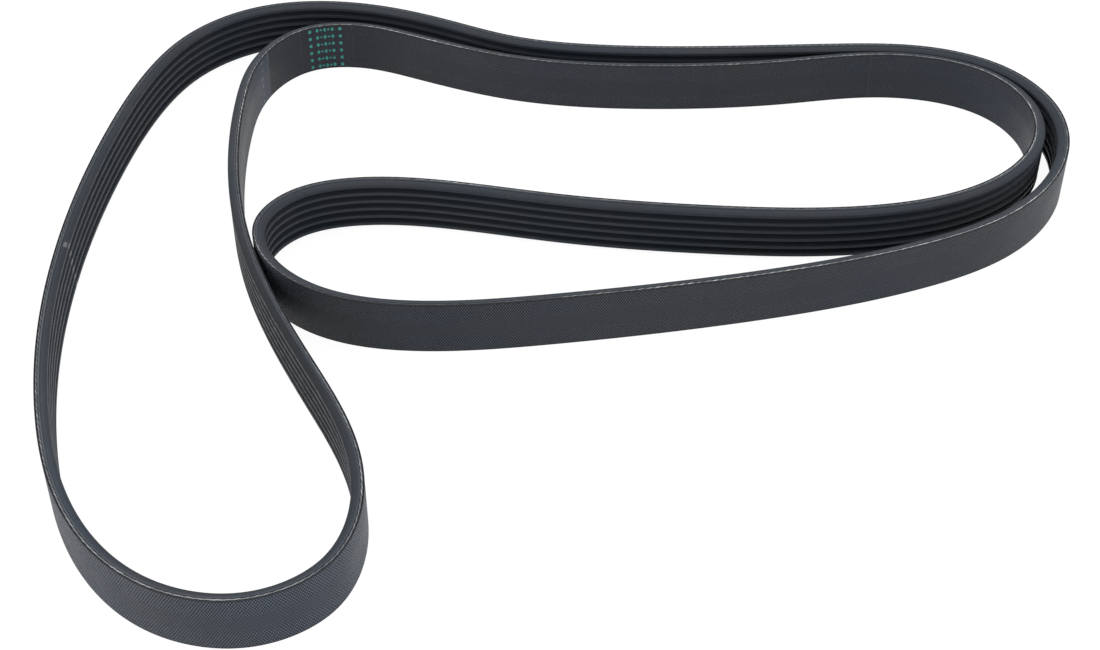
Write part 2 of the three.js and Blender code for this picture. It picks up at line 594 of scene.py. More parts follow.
class NodeSheet:
    """Places nodes in one tree and joins them, so that a formula reads from left to right."""

    column_width = 200.0
    row_height = 260.0
    rows = 4

    def __init__(self, tree: Tree) -> None:
        """Starts on a tree."""
        self.tree = tree
        self.count = 0

    def feed(self, socket: Socket, value: Signal) -> None:
        """Links a socket to another one, or gives it a constant.

        Args:
            socket: The input that is fed.
            value: The output or the constant that it gets.
        """
        if isinstance(value, Socket):
            self.tree.links.new(value, socket)
        else:
            socket.default_value = value

    def add(self, kind: str, inputs: Inputs | None = None, **settings: object) -> Node:
        """Adds a node below or beside the last one.

        Args:
            kind: The kind of node.
            inputs: What its inputs get, by name or number.
            settings: Values of its properties, by name.

        Returns:
            The node.
        """
        node = self.tree.nodes.new(kind)
        column, row = divmod(self.count, self.rows)
        node.location = (self.column_width * column, -self.row_height * row)
        self.count += 1
        for name, value in settings.items():
            setattr(node, name, value)
        for name, value in (inputs or {}).items():
            self.feed(node.inputs[name], value)
        return node

    def math(self, operation: str, *values: Signal, clamp: bool = False) -> Socket:
        """The result of a Math node on one to three values."""
        given = dict(enumerate(values))
        return self.add("ShaderNodeMath", given, operation=operation, use_clamp=clamp).outputs[0]

    def product(self, *values: Signal) -> Signal:
        """Several numbers multiplied together."""
        return reduce(lambda total, value: self.math("MULTIPLY", total, value), values)

    def fade(self, value: Signal, start: float, end: float, low: float = 0.0, high: float = 1.0) -> Socket:
        """A value that goes smoothly from low to high as another goes from start to end."""
        given = dict(enumerate((value, start, end, low, high)))
        return self.add("ShaderNodeMapRange", given, interpolation_type="SMOOTHSTEP", clamp=True).outputs[0]

    def blend(self, share: Signal, first: Signal, second: Signal) -> Socket:
        """A colour between two, by the share of the second."""
        return self.add("ShaderNodeMix", {0: share, 6: first, 7: second}, data_type="RGBA").outputs[2]

    def shade(self, colour: Signal, factor: Signal) -> Socket:
        """A colour times a number."""
        return self.add("ShaderNodeVectorMath", {0: colour, "Scale": factor}, operation="SCALE").outputs[0]

    def noise(
        self, place: Signal, scale: float, detail: float, stretch: tuple[float, float, float] = (1, 1, 1)
    ) -> Socket:
        """Noise from 0 to 1 at a number of waves a metre, stretched along the axes by the given factors."""
        at = self.add("ShaderNodeMapping", {"Vector": place, "Scale": stretch}).outputs[0]
        return self.add("ShaderNodeTexNoise", {"Vector": at, "Scale": scale, "Detail": detail}).outputs[0]

    def patches(self, place: Signal, look: Patches) -> Socket:
        """A slow change over the surface."""
        return self.fade(self.noise(place, look.scale, look.detail, look.stretch), *look.fade)

    def split(self, vector: Signal) -> list[Socket]:
        """The first two parts of a vector."""
        return self.add("ShaderNodeSeparateXYZ", {0: vector}).outputs[:2]

    def place(self) -> Socket:
        """The place on the piece in its own coordinates."""
        return self.add("ShaderNodeTexCoord").outputs["Object"]

    def map(self, name: str) -> list[Socket]:
        """The two coordinates of one of the piece's maps."""
        return self.split(self.add("ShaderNodeUVMap", uv_map=name).outputs[0])

    def attribute(self, name: str) -> Socket:
        """One of the piece's own attributes."""
        return self.add("ShaderNodeAttribute", attribute_name=name).outputs["Fac"]

    def effect(self, group: Tree, **values: Signal) -> list[Socket]:
        """The outputs of an effect, with its inputs given by name."""
        return self.add("ShaderNodeGroup", values, node_tree=group).outputs[:]

    def lean(self, name: str, colour: Signal) -> Socket:
        """The normal that a colour gives in the directions of one of the piece's maps."""
        return self.add("ShaderNodeNormalMap", {"Color": colour}, uv_map=name).outputs[0]

    def grain(self, place: Signal, look: Grain, base: Inputs | None = None) -> Socket:
        """The normal of a finely uneven surface, on the piece's own or on the Normal in base."""
        given = {"Distance": look.depth, "Height": self.noise(place, look.scale, look.detail)}
        return self.add("ShaderNodeBump", given | (base or {})).outputs[0]


class EffectSheet(NodeSheet):
    """A sheet for one effect, a node group with named inputs and outputs."""

    def __init__(
        self, name: str, inputs: dict[str, tuple[str, Signal | None]], outputs: dict[str, str]
    ) -> None:
        """Makes the group's sockets.

        Args:
            name: Name of the effect.
            inputs: Kind and first value of each input, by name.
            outputs: Kind of each output, by name.
        """
        tree = bpy.data.node_groups.new(name, "ShaderNodeTree")
        super().__init__(tree)
        for title, (kind, value) in inputs.items():
            socket = tree.interface.new_socket(name=title, in_out="INPUT", socket_type=kind)
            if value is not None:
                socket.default_value = value
        for title, kind in outputs.items():
            tree.interface.new_socket(name=title, in_out="OUTPUT", socket_type=kind)
        self.given = self.add("NodeGroupInput").outputs
        self.result = self.add("NodeGroupOutput").inputs


FLOAT = "NodeSocketFloat"
COLOUR = "NodeSocketColor"
VECTOR = "NodeSocketVector"

# The rubber's uneven tone: its slow drift, the wide and the fine noise of its mottle, and the gloss with it
TONE_DRIFT = Patches(22.0, 2.0, Fade(0.35, 0.65))
WIDE_MOTTLE = (70.0, 3.0)
FINE_MOTTLE = (900.0, 2.0)
MOTTLE_GLOSS = -0.12


def soft_band_effect() -> Tree:
    """A mask that is 1 within Half of Centre and fades to 0 over Softness beyond it.

    Returns:
        The effect.
    """
    sheet = EffectSheet(
        "soft_band",
        {"Value": (FLOAT, 0.0), "Centre": (FLOAT, 0.0), "Half": (FLOAT, 0.001), "Softness": (FLOAT, 0.001)},
        {"Mask": FLOAT},
    )
    off = sheet.math("ABSOLUTE", sheet.math("SUBTRACT", sheet.given["Value"], sheet.given["Centre"]))
    over = sheet.math("DIVIDE", sheet.math("SUBTRACT", off, sheet.given["Half"]), sheet.given["Softness"])
    sheet.feed(sheet.result["Mask"], sheet.fade(over, 0.0, 1.0, 1.0, 0.0))
    return sheet.tree


def weave_relief_effect() -> Tree:
    """The imprint of a bias-cut fabric: two crossing families of ridges, each a raised sine.

    The phase of each family is a turn for every wave along the run, plus or minus one for every climb up the
    height, and the relief is the mean of both sines times Depth. Its slopes along the run and up the height
    are the sum and the difference of both cosines, times half a turn, the waves or the climb, and the
    amplitude. The slopes are put out as the normal n that they give, in the run and height map's own
    directions, packed as the colour (n + 1) / 2.

    Returns:
        The effect.
    """
    sheet = EffectSheet(
        "weave_relief",
        {
            "Run": (FLOAT, 0.0),
            "Height": (FLOAT, 0.0),
            "Waves": (FLOAT, 1000.0),
            "Climb": (FLOAT, 650.0),
            "Waver": (FLOAT, 0.0),
            "Amplitude": (FLOAT, 0.0001),
            "Depth": (FLOAT, 1.0),
        },
        {"Relief": FLOAT, "Normal": COLOUR},
    )
    waves, climb = sheet.given["Waves"], sheet.given["Climb"]
    along = sheet.math("MULTIPLY", sheet.given["Run"], waves)
    up = sheet.math("MULTIPLY_ADD", sheet.given["Height"], climb, sheet.given["Waver"])
    rising = sheet.math("MULTIPLY", sheet.math("ADD", along, up), TURN)
    falling = sheet.math("MULTIPLY", sheet.math("SUBTRACT", along, up), TURN)
    both = sheet.math("ADD", sheet.math("SINE", rising), sheet.math("SINE", falling))
    sheet.feed(sheet.result["Relief"], sheet.product(both, sheet.given["Depth"], 0.5))
    first, second = sheet.math("COSINE", rising), sheet.math("COSINE", falling)
    steep = sheet.product(sheet.given["Amplitude"], sheet.given["Depth"], -TURN / 2.0)
    lean_along = sheet.product(sheet.math("ADD", first, second), waves, steep)
    lean_up = sheet.product(sheet.math("SUBTRACT", first, second), climb, steep)
    lean = sheet.add("ShaderNodeCombineXYZ", {0: lean_along, 1: lean_up, 2: 1.0}).outputs[0]
    unit = sheet.add("ShaderNodeVectorMath", {0: lean}, operation="NORMALIZE").outputs[0]
    halves = (0.5, 0.5, 0.5)
    packed = sheet.add("ShaderNodeVectorMath", {0: unit, 1: halves, 2: halves}, operation="MULTIPLY_ADD")
    sheet.feed(sheet.result["Normal"], packed.outputs[0])
    return sheet.tree


def rubber_tone_effect() -> Tree:
    """Slow drift between two tints and a light and dark mottle, with a roughness that follows the mottle.

    Returns:
        The effect.
    """
    sheet = EffectSheet(
        "rubber_tone",
        {
            "Place": (VECTOR, None),
            "Colour": (COLOUR, opaque(0.03, 0.03, 0.03)),
            "Tint": (COLOUR, opaque(0.03, 0.03, 0.03)),
            "Mottle": (FLOAT, 0.1),
            "Roughness": (FLOAT, 0.5),
        },
        {"Colour": COLOUR, "Roughness": FLOAT},
    )
    place = sheet.given["Place"]
    mixed = sheet.blend(sheet.patches(place, TONE_DRIFT), sheet.given["Colour"], sheet.given["Tint"])
    both = sheet.math("ADD", sheet.noise(place, *WIDE_MOTTLE), sheet.noise(place, *FINE_MOTTLE))
    sway = sheet.math("SUBTRACT", both, 1.0)
    factor = sheet.math("MULTIPLY_ADD", sway, sheet.given["Mottle"], 1.0)
    sheet.feed(sheet.result["Colour"], sheet.shade(mixed, factor))
    rough = sheet.math("MULTIPLY_ADD", sway, MOTTLE_GLOSS, sheet.given["Roughness"])
    sheet.feed(sheet.result["Roughness"], rough)
    return sheet.tree


def pale_specks_effect() -> Tree:
    """Scattered tiny specks: the middles of those cells of a cell pattern whose own random number is high.

    Returns:
        The effect.
    """
    sheet = EffectSheet(
        "pale_specks",
        {"Place": (VECTOR, None), "Scale": (FLOAT, 250.0), "Amount": (FLOAT, 0.1), "Size": (FLOAT, 0.05)},
        {"Mask": FLOAT},
    )
    spread = {"Vector": sheet.given["Place"], "Scale": sheet.given["Scale"]}
    cells = sheet.add("ShaderNodeTexVoronoi", spread, feature="F1").outputs
    chance = sheet.split(cells["Color"])[0]
    chosen = sheet.math("GREATER_THAN", sheet.math("ADD", chance, sheet.given["Amount"]), 1.0)
    near = sheet.math("DIVIDE", cells["Distance"], sheet.given["Size"])
    spot = sheet.fade(near, 0.5, 1.0, 1.0, 0.0)
    sheet.feed(sheet.result["Mask"], sheet.math("MULTIPLY", chosen, spot))
    return sheet.tree


@dataclass(frozen=True)
class Effects:
    """The effects that the finishes share."""

    soft_band: Tree
    weave_relief: Tree
    rubber_tone: Tree
    pale_specks: Tree

    @classmethod
    def build(cls) -> "Effects":
        """Makes every effect once."""
        return cls(soft_band_effect(), weave_relief_effect(), rubber_tone_effect(), pale_specks_effect())


class FinishSheet(NodeSheet):
    """A sheet for one material, with the effects at hand and a shader to feed."""

    def __init__(self, name: str, effects: Effects) -> None:
        """Starts a material with an empty tree and a shader.

        Args:
            name: Name of the material.
            effects: The shared effects.
        """
        self.material = bpy.data.materials.new(name)
        self.material.use_nodes = True
        super().__init__(self.material.node_tree)
        self.tree.nodes.clear()
        self.effects = effects
        self.shader = self.add("ShaderNodeBsdfPrincipled")
        self.add("ShaderNodeOutputMaterial", {"Surface": self.shader.outputs[0]})

    def band(self, value: Signal, centre: float, look: Stripe) -> Socket:
        """A mask from 0 to 1 around one value, with soft edges."""
        given = {"Value": value, "Centre": centre, "Half": look.half, "Softness": look.softness}
        return self.effect(self.effects.soft_band, **given)[0]

    def stripe(self, value: Signal, centre: float, look: Stripe) -> Signal:
        """A band at its own strength."""
        return self.product(self.band(value, centre, look), look.strength)

    def tone(self, place: Signal, look: Tone) -> list[Socket]:
        """The colour and the roughness of the rubber's own uneven tone."""
        given = {"Colour": look.colour, "Tint": look.tint, "Mottle": look.mottle}
        return self.effect(self.effects.rubber_tone, Place=place, Roughness=look.roughness, **given)

    def dust(self, place: Signal, look: Dust) -> Signal:
        """A mask of scattered tiny specks at their own strength."""
        given = {"Place": place, "Scale": look.scale, "Amount": look.amount, "Size": look.size}
        return self.product(self.effect(self.effects.pale_specks, **given)[0], look.strength)

    def finish(self, colour: Signal, roughness: Signal, normal: Signal, specular: float) -> Material:
        """Feeds the shader.

        Args:
            colour: The base colour.
            roughness: The roughness.
            normal: The normal.
            specular: Strength of the gloss, the same all over.

        Returns:
            The finished material.
        """
        given = {
            "Base Color": colour,
            "Roughness": roughness,
            "Normal": normal,
            "Specular IOR Level": specular,
        }
        for name, value in given.items():
            self.feed(self.shader.inputs[name], value)
        return self.material


# Names of the band's maps and of the values that its vertices carry
RUN_MAP = "run_height"
SECTION_MAP = "section"
BAKE_MAP = "OFBake"
# Bloom on the back together with painted light and shade along the belt
BLOOM_AND_PAINTED_LIGHT = "bloom_and_painted_light"
GROUND = "ground"
# Painted light and shade on the ribs along the belt
PAINTED_RIB_LIGHT_AND_SHADE = "painted_rib_light_and_shade"
# Pale rib tips: wear together with a painted highlight
TIP_WEAR_AND_HIGHLIGHT = "worn"
PRESSED = "pressed"
PALENESS = "paleness"


@dataclass(frozen=True)
class FabricBack:
    """The smooth back, with the fabric that it was cured against pressed into it."""

    size: BeltSize
    length: float
    tone: Tone = Tone(opaque(0.0148, 0.0196, 0.0290), opaque(0.0168, 0.0197, 0.0258), 0.22, 0.48)
    pale: Colour = opaque(0.16, 0.165, 0.17)
    specular: float = 0.28
    grain: Grain = Grain(2600.0, 2.0, 0.012 * MM)
    dust: Dust = Dust(170.0, 0.035, 0.045, 0.7)
    wave: float = 1.0 * MM
    climb: float = 650.0
    relief: float = 0.16 * MM
    uneven: Patches = Patches(45.0, 2.0, Fade(0.2, 0.7, 0.65, 1.1))
    waver_noise: tuple[float, float] = (160.0, 1.0)
    waver: float = 0.22
    # Painted light and shade of the weave: how strongly the relief lightens ridges and darkens valleys, and
    # the darkest it goes
    weave_painted_shade: float = 2.3
    deepest_painted_shade: float = 0.08
    worn_middle: float = 10.2 * MM
    worn_band: Stripe = Stripe(3.0 * MM, 1.2 * MM)
    worn_relief: float = 0.35
    worn_tone: float = 0.9
    border: float = 0.35 * MM
    border_tone: float = 0.35
    mould_lines: tuple[float, ...] = (1689.8 * MM, 1917.8 * MM, 1941.1 * MM)
    mould_line: Stripe = Stripe(0.1 * MM, 0.2 * MM, 0.08)
    seam_run: float = 1963.3 * MM
    seam_slant: float = 0.08
    seam_line: Stripe = Stripe(0.3 * MM, 0.4 * MM, 0.2)
    seam_step: float = 0.2 * MM
    seam_level: float = 3.0 * MM
    seam_fade: float = 24.0 * MM
    seam_gain: float = 1.5
    dash_run: float = 1969.7 * MM
    dash_row: Stripe = Stripe(0.3 * MM, 0.4 * MM, 0.7)
    dash_gap: Fade = Fade(-0.15, -0.55)

    def material(self, effects: Effects) -> Material:
        """Builds the material of the back.

        Args:
            effects: The shared effects.

        Returns:
            The material.
        """
        sheet = FinishSheet("fabric_back", effects)
        place = sheet.place()
        run, height = sheet.map(RUN_MAP)
        worn = sheet.band(height, self.worn_middle, self.worn_band)
        depth = sheet.math("MULTIPLY_ADD", worn, self.worn_relief - 1.0, 1.0)
        relief, packed = sheet.effect(
            effects.weave_relief,
            Run=run,
            Height=height,
            Waves=round(self.length / self.wave) / self.length,
            Climb=self.climb,
            Waver=sheet.math("MULTIPLY", sheet.noise(place, *self.waver_noise), self.waver),
            Amplitude=self.relief,
            Depth=sheet.product(depth, sheet.patches(place, self.uneven), sheet.attribute(PRESSED)),
        )
        colour, rough = sheet.tone(place, self.tone)
        # Bloom and painted light and shade along the belt: lighter round the near loop, a painted lift of
        # the shadow near the crossing, darker along the far runs
        colour = sheet.shade(colour, sheet.attribute(BLOOM_AND_PAINTED_LIGHT))
        # Painted light and shade of the weave: the ridges lighter and the valleys darker, down to the
        # deepest painted shade
        weave_light_and_shade = sheet.math("MULTIPLY_ADD", relief, self.weave_painted_shade, 1.0)
        colour = sheet.shade(colour, sheet.math("MAXIMUM", weave_light_and_shade, self.deepest_painted_shade))
        colour = sheet.shade(colour, sheet.math("MULTIPLY_ADD", worn, self.worn_tone - 1.0, 1.0))
        middle = self.size.width / 2.0
        inner = sheet.band(height, middle, Stripe(middle - 2.0 * self.border, self.border))
        rim = sheet.math("MULTIPLY_ADD", inner, 1.0 - self.border_tone, self.border_tone)
        slanted = sheet.math("MULTIPLY_ADD", height, self.seam_slant, run)
        colour = sheet.shade(sheet.shade(colour, rim), self.seam(sheet, slanted))
        colour = sheet.blend(self.marks(sheet, run, slanted, height, place), colour, self.pale)
        normal = sheet.grain(place, self.grain, {"Normal": sheet.lean(RUN_MAP, packed)})
        return sheet.finish(colour, rough, normal, self.specular)

    def seam(self, sheet: FinishSheet, slanted: Signal) -> Socket:
        """Tone beyond the mould's seam: it steps up at the seam and falls back slowly.

        Args:
            sheet: The sheet of the material.
            slanted: Distance along the belt, in line with the seam's slant.

        Returns:
            A factor for the colour.
        """
        step = sheet.fade(slanted, self.seam_run - self.seam_step, self.seam_run + self.seam_step)
        fall = sheet.fade(slanted, self.seam_run + self.seam_level, self.seam_run + self.seam_fade, 1.0, 0.0)
        return sheet.math("MULTIPLY_ADD", sheet.product(step, fall), self.seam_gain, 1.0)

    def marks(
        self, sheet: FinishSheet, run: Signal, slanted: Signal, height: Signal, place: Signal
    ) -> Signal:
        """Mask of the pale marks: mould lines, the seam, a dash at each rib beside it, and specks of dust.

        Args:
            sheet: The sheet of the material.
            run: Distance along the belt.
            slanted: Distance along the belt, in line with the seam's slant.
            height: Height above the lower edge.
            place: Place on the piece.

        Returns:
            A mask from 0 to 1.
        """
        beat = sheet.math("COSINE", sheet.math("MULTIPLY", height, TURN / self.size.rib_pitch))
        dashes = sheet.fade(beat, *self.dash_gap)
        lines = [sheet.stripe(run, line, self.mould_line) for line in self.mould_lines]
        lines.append(sheet.stripe(slanted, self.seam_run + self.seam_line.half, self.seam_line))
        lines.append(sheet.product(sheet.stripe(slanted, self.dash_run, self.dash_row), dashes))
        total = sheet.dust(place, self.dust)
        for line in lines:
            total = sheet.math("MAXIMUM", total, line)
        return total


@dataclass(frozen=True)
class CoverEdge:
    """The cut edge of the cover layer between the back and the cord: dull, dark and a little frayed."""

    tone: Tone = Tone(opaque(0.0065, 0.0072, 0.0105), opaque(0.0078, 0.0082, 0.0105), 0.4, 0.88)
    specular: float = 0.12
    grain: Grain = Grain(1500.0, 3.0, 0.03 * MM)

    def material(self, effects: Effects) -> Material:
        """Builds the material of the cover layer's edge.

        Args:
            effects: The shared effects.

        Returns:
            The material.
        """
        sheet = FinishSheet("cover_edge", effects)
        place = sheet.place()
        return sheet.finish(*sheet.tone(place, self.tone), sheet.grain(place, self.grain), self.specular)


@dataclass(frozen=True)
class CutEdge:
    """The two edges, where the belt was cut from its sleeve and the layers of the body show."""

    tone: Tone = Tone(opaque(0.0210, 0.0280, 0.0410), opaque(0.0226, 0.0286, 0.0392), 0.3, 0.55)
    pale: Colour = opaque(0.13, 0.135, 0.14)
    specular: float = 0.28
    grain: Grain = Grain(1500.0, 3.0, 0.02 * MM)
    dust: Dust = Dust(300.0, 0.05, 0.06, 0.5)
    layers: Fade = Fade(1.3 * MM, 2.1 * MM, 1.15, 0.8)
    joint_depth: float = 1.4 * MM
    joint_line: Stripe = Stripe(0.05 * MM, 0.1 * MM, 0.25)
    ground_depth: float = 1.64 * MM
    ground_line: Stripe = Stripe(0.1 * MM, 0.2 * MM, 0.42)
    ground_patches: Patches = Patches(60.0, 2.0, Fade(0.35, 0.65, 0.4, 1.0))

    def material(self, effects: Effects) -> Material:
        """Builds the material of the cut edges.

        Args:
            effects: The shared effects.

        Returns:
            The material.
        """
        sheet = FinishSheet("cut_edge", effects)
        place = sheet.place()
        depth = sheet.map(SECTION_MAP)[0]
        colour, rough = sheet.tone(place, self.tone)
        joint = sheet.stripe(depth, self.joint_depth, self.joint_line)
        colour = sheet.shade(colour, sheet.math("SUBTRACT", 1.0, joint))
        colour = sheet.shade(colour, sheet.fade(depth, *self.layers))
        ground = sheet.stripe(depth, self.ground_depth, self.ground_line)
        ground = sheet.product(ground, sheet.patches(place, self.ground_patches), sheet.attribute(GROUND))
        for mask in (ground, sheet.dust(place, self.dust)):
            colour = sheet.blend(mask, colour, self.pale)
        return sheet.finish(colour, rough, sheet.grain(place, self.grain), self.specular)


@dataclass(frozen=True)
class RibRubber:
    """The ground ribs: short fibres in plain rubber, with paler tips from wear and a painted highlight, dark
    grooves lifted by painted light, and painted light on the tip faces.
    """

    size: BeltSize
    tone: Tone = Tone(opaque(0.0152, 0.0196, 0.0262), opaque(0.0174, 0.0202, 0.0248), 0.25, 0.52)
    pale: Colour = opaque(0.2, 0.205, 0.21)
    specular: float = 0.16
    grain: Grain = Grain(1800.0, 3.0, 0.018 * MM)
    dust: Dust = Dust(350.0, 0.06, 0.07, 0.35)
    groove_painted_light: float = 1.75
    flank_painted_light: float = 1.05
    flank_end: float = 0.3 * MM
    tip_face_painted_light: float = 1.3
    flat_start: float = 0.12 * MM
    flat_end: float = 0.02 * MM
    wear_and_highlight: float = 0.08
    wear_start: float = 0.35 * MM
    wear_end: float = 0.05 * MM
    streaks: Patches = Patches(260.0, 3.0, Fade(0.35, 0.75), (1.0, 1.0, 5.0))
    scuff_run: float = 292.5 * MM
    scuff_dash: Stripe = Stripe(1.2 * MM, 0.6 * MM)
    scuff: float = 0.55
    smudge_depth: float = 3.2 * MM
    smudge_across: Stripe = Stripe(0.3 * MM, 0.6 * MM)
    smudge_along: Stripe = Stripe(0.8 * MM, 1.2 * MM)

    def material(self, effects: Effects) -> Material:
        """Builds the material of the ribs.

        Args:
            effects: The shared effects.

        Returns:
            The material.
        """
        sheet = FinishSheet("rib_rubber", effects)
        place = sheet.place()
        run = sheet.map(RUN_MAP)[0]
        depth, height = sheet.map(SECTION_MAP)
        floor, tip = self.size.floor_depth, self.size.thickness
        # Painted light: the groove floors and lower flanks are lightened against their shade, and the tip
        # faces get painted light
        lit = sheet.fade(depth, floor, tip - self.flank_end, self.groove_painted_light, self.flank_painted_light)
        worn = sheet.fade(depth, tip - self.wear_start, tip - self.wear_end)
        flat = sheet.fade(depth, tip - self.flat_start, tip - self.flat_end, 1.0, self.tip_face_painted_light)
        colour, rough = sheet.tone(place, self.tone)
        # Painted light and shade along the belt on the ribs: lighter on the left run, darker on the crossing
        # run
        colour = sheet.shade(colour, sheet.product(lit, flat, sheet.attribute(PAINTED_RIB_LIGHT_AND_SHADE)))
        # Pale rib tips: wear together with a painted highlight along the tip corners
        pale = sheet.product(worn, sheet.patches(place, self.streaks), sheet.attribute(TIP_WEAR_AND_HIGHLIGHT), self.wear_and_highlight)
        scrape = self.scrape(sheet, run, depth, height, worn)
        for mask in (pale, scrape, sheet.dust(place, self.dust)):
            colour = sheet.blend(mask, colour, self.pale)
        return sheet.finish(colour, rough, sheet.grain(place, self.grain), self.specular)

    def scrape(
        self, sheet: FinishSheet, run: Signal, depth: Signal, height: Signal, worn: Signal
    ) -> Signal:
        """Mask of one scrape square across the belt: a dash on every rib tip and a smudge on the top flank.

        Args:
            sheet: The sheet of the material.
            run: Distance along the belt.
            depth: Depth below the smooth back.
            height: Height above the lower edge.
            worn: Mask of the rib tips.

        Returns:
            A mask from 0 to 1.
        """
        dash = sheet.product(sheet.band(run, self.scuff_run, self.scuff_dash), worn)
        top = sheet.math("GREATER_THAN", height, self.size.width - self.size.rib_pitch / 2.0)
        spot = sheet.band(depth, self.smudge_depth, self.smudge_across)
        smudge = sheet.product(sheet.band(run, self.scuff_run, self.smudge_along), spot, top)
        return sheet.product(sheet.math("MAXIMUM", dash, smudge), self.scuff)


@dataclass(frozen=True)
class CordYarn:
    """The twisted cord of the winding: bare and pale where the knife laid it open, dark elsewhere."""

    bare: Colour = opaque(0.62, 0.63, 0.64)
    smeared: Colour = opaque(0.030, 0.034, 0.039)
    bare_roughness: float = 0.75
    smeared_roughness: float = 0.6
    specular: float = 0.3
    grain: Grain = Grain(6000.0, 2.0, 0.01 * MM)
    smears: Patches = Patches(350.0, 2.0, Fade(0.3, 0.7, 0.5, 1.3))

    def material(self, effects: Effects) -> Material:
        """Builds the material of the cord.

        Args:
            effects: The shared effects.

        Returns:
            The material.
        """
        sheet = FinishSheet("cord_yarn", effects)
        place = sheet.place()
        patches = sheet.patches(place, self.smears)
        share = sheet.math("MULTIPLY", sheet.attribute(PALENESS), patches, clamp=True)
        colour = sheet.blend(share, self.smeared, self.bare)
        rougher = self.bare_roughness - self.smeared_roughness
        rough = sheet.math("MULTIPLY_ADD", share, rougher, self.smeared_roughness)
        return sheet.finish(colour, rough, sheet.grain(place, self.grain), self.specular)


@dataclass(frozen=True)
class MarkInk:
    """Thin stamped ink, broken by the weave below it."""

    ink: Colour = opaque(0.026, 0.25, 0.215)
    rubber: Colour = opaque(0.02, 0.06, 0.06)
    roughness: float = 0.5
    specular: float = 0.35
    grain: Grain = Grain(2600.0, 2.0, 0.01 * MM)
    gaps: Patches = Patches(1100.0, 2.0, Fade(0.25, 0.45))

    def material(self, effects: Effects) -> Material:
        """Builds the material of the stamped marks.

        Args:
            effects: The shared effects.

        Returns:
            The material.
        """
        sheet = FinishSheet("mark_ink", effects)
        place = sheet.place()
        colour = sheet.blend(sheet.patches(place, self.gaps), self.rubber, self.ink)
        return sheet.finish(colour, self.roughness, sheet.grain(place, self.grain), self.specular)


class Stretch(NamedTuple):
    """A stretch of the belt where something grows to a gain above its plain level, or falls below it."""

    middle: float
    half: float
    gain: float


def stretches(*rows: tuple[float, float, float]) -> tuple[Stretch, ...]:
    """Stretches, from the middle and half length of each in millimetres, and its gain."""
    return tuple(Stretch(middle * MM, half * MM, gain) for middle, half, gain in rows)


class Level(NamedTuple):
    """A value that changes along the belt: its name, its plain level and the stretches where it differs."""

    name: str
    plain: float
    stretches: tuple[Stretch, ...]

    def along(self, run: np.ndarray, length: float) -> np.ndarray:
        """The value at places along the closed belt: the plain level with a hump over each stretch.

        A hump is the gain times e to the minus square of the way off the middle, in halves of the stretch.

        Args:
            run: Distances along the belt.
            length: The belt's length.

        Returns:
            One value for each distance.
        """
        level = np.full(run.shape, self.plain)
        for stretch in self.stretches:
            off = np.mod(run - stretch.middle + length / 2.0, length) - length / 2.0
            level = level + stretch.gain * np.exp(-(off / stretch.half) ** 2)
        return level


def add_values(piece: Piece, name: str, values: np.ndarray) -> None:
    """Gives each vertex of a piece a value under a name."""
    attribute = piece.data.attributes.new(name, "FLOAT", "POINT")
    attribute.data.foreach_set("value", values.astype(np.float32).ravel())


@dataclass(frozen=True)
class BeltBand:
    """The moulded band itself: body, ribs, cut edges and back, in one skin."""

    section: RibbedSection
    bake_rows: int = 7
    stations_a_row: int = 160
    bake_margin: float = 0.03
    levels: tuple[Level, ...] = (
        # Bloom with painted light and shade: lighter round the near loop, a lifted shadow near the crossing,
        # darker along the far runs
        Level(BLOOM_AND_PAINTED_LIGHT, 1.0, stretches(
            (20, 110, 0.65), (1190, 40, -0.2), (1223, 9, 1.1), (1780, 160, -0.17), (1915, 40, -0.2),
        )),
        Level(GROUND, 0.25, stretches((230, 130, 0.9), (2000, 90, 0.4))),
        # Painted light on the left run's ribs and painted shade on the crossing run's ribs
        Level(PAINTED_RIB_LIGHT_AND_SHADE, 1.0, stretches((180, 70, 0.5), (2150, 80, -0.65))),
        # Pale rib tips, wear with a painted highlight, strongest on the left run and the crossing run
        Level(TIP_WEAR_AND_HIGHLIGHT, 0.5, stretches((230, 120, 2.0), (2150, 80, 3.0))),
        Level(PRESSED, 1.0, stretches(
            (112, 45, 0.8), (890, 70, -0.5), (1020, 70, 0.3), (1150, 32, 0.9),
            (1200, 30, -0.4), (1620, 90, -0.4), (1850, 60, -0.15),
        )),
    )

    @property
    def count(self) -> int:
        """How many stations the band has."""
        return self.bake_rows * self.stations_a_row

    def build(self, line: BeltLine, materials: list[Material]) -> Piece:
        """Makes the band: the outline and its normals, carried along the line.

        Args:
            line: The line that the back follows.
            materials: Materials in the order of Face.

        Returns:
            The piece.
        """
        outline = self.section.outline()
        stations = line.round(self.count)
        places = stations.beside(outline.depth, outline.height)
        normals = stations.vectors(outline.normal[:, 0], outline.normal[:, 1])
        runs = np.append(stations.run, line.length)
        heights = quad_map(runs, outline.height)
        depths = quad_map(runs, outline.depth)
        maps = {
            RUN_MAP: heights,
            SECTION_MAP: np.stack([depths[:, 1], heights[:, 1]], axis=1),
            BAKE_MAP: folded_map(self.count, outline.share, self.bake_rows, self.bake_margin),
        }
        sides = len(outline.depth)
        piece = add_piece("belt_band", places, tube_faces(self.count, sides), maps)
        mesh = piece.data
        for material in materials:
            mesh.materials.append(material)
        mesh.polygons.foreach_set("material_index", np.tile(outline.face, self.count).astype(np.int32))
        mesh.normals_split_custom_set_from_vertices(normals.reshape(-1, 3))
        for level in self.levels:
            add_values(piece, level.name, np.repeat(level.along(stations.run, line.length), sides))
        mesh.update()
        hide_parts(CAD_NODE)
        return piece


